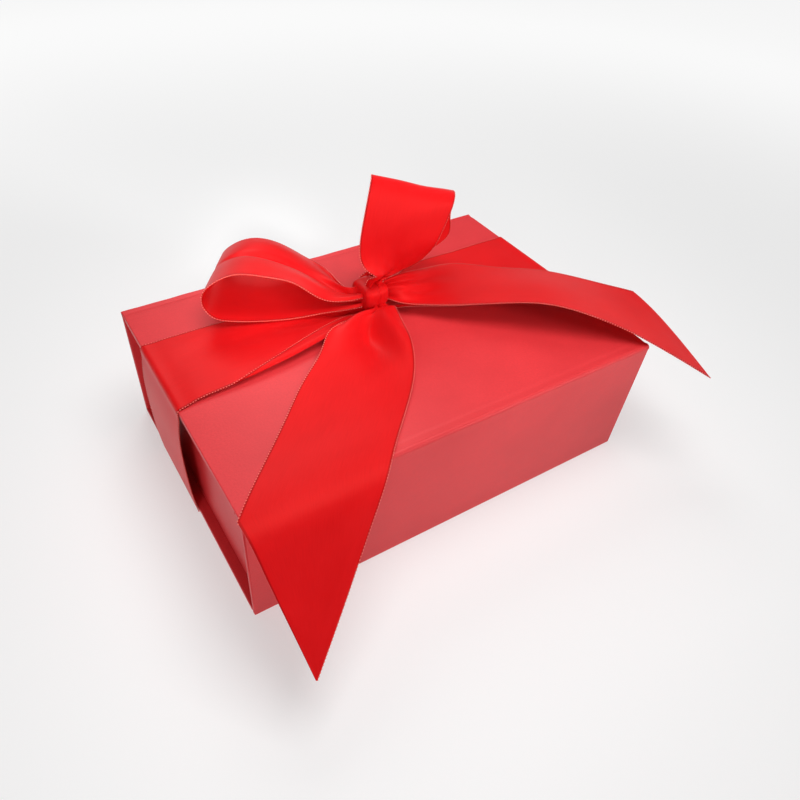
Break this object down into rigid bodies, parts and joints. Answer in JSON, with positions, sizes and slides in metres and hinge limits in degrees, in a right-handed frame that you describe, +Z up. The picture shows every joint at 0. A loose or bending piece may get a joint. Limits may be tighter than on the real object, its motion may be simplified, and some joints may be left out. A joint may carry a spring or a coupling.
{
  "type": "gift box",
  "caption": "Book-style rigid gift box with a hinged lid, a front flap that closes on hidden magnets and an inset tray, tied lengthwise with a wide satin ribbon and a bow.",
  "frame": {"origin": "under the middle of the box, on the surface that the box stands on", "axes": "+X along the long side, to the right as seen from the flap; -Y towards the flap; +Z up"},
  "size_m": [0.251, 0.2089, 0.1409],
  "materials": {
    "greyboard": "matte",
    "wrapping_paper": "satin",
    "lining_paper": "satin",
    "corner_tape": "matte",
    "magnet": "satin",
    "satin_ribbon": "satin"
  },
  "bodies": {
    "base": {"base_board": "greyboard", "base_wrap": "wrapping_paper", "spine_board": "greyboard", "spine_wrap": "wrapping_paper", "tray_floor": "greyboard", "tray_front_wall": "greyboard", "tray_back_wall": "greyboard", "tray_left_wall": "greyboard", "tray_right_wall": "greyboard", "tray_corner_tapes": "corner_tape", "tray_magnets": "magnet", "tray_wrap": "wrapping_paper", "tray_floor_lining": "lining_paper"},
    "lid": {"lid_board": "greyboard", "lid_wrap": "wrapping_paper", "lid_lining": "lining_paper"},
    "flap": {"flap_board": "greyboard", "flap_wrap": "wrapping_paper", "flap_lining": "lining_paper", "flap_magnets": "magnet"},
    "ribbon": {"ribbon_band": "satin_ribbon", "ribbon_left_drop": "satin_ribbon", "ribbon_right_drop": "satin_ribbon", "ribbon_knot": "satin_ribbon", "ribbon_left_loop": "satin_ribbon", "ribbon_top_loop": "satin_ribbon", "ribbon_front_tail": "satin_ribbon", "ribbon_front_tail_end": "satin_ribbon", "ribbon_right_tail": "satin_ribbon"},
    "ribbon_under": {"ribbon_under": "satin_ribbon"}
  },
  "joints": [
    {"name": "lid_hinge", "type": "hinge", "parent": "base", "child": "lid", "pos_m": [0, 0.075, 0.0704], "axis": [-1, 0, 0], "range_deg": [0, 110]},
    {"name": "flap_hinge", "type": "hinge", "parent": "lid", "child": "flap", "pos_m": [0, -0.075, 0.0704], "axis": [-1, 0, 0], "range_deg": [0, 90], "deforming": ["ribbon_front_tail_end"]},
    {"name": "ribbon_slide", "type": "slide", "parent": "lid", "child": "ribbon", "axis": [0, -1, 0], "range_m": [0, 0.13]},
    {"name": "ribbon_under_slide", "type": "slide", "parent": "base", "child": "ribbon_under", "axis": [0, -1, 0], "range_m": [0, 0.13]}
  ],
  "couplings": [
    {"joint": "ribbon_under_slide", "follows": "ribbon_slide", "ratio": 1}
  ]
}
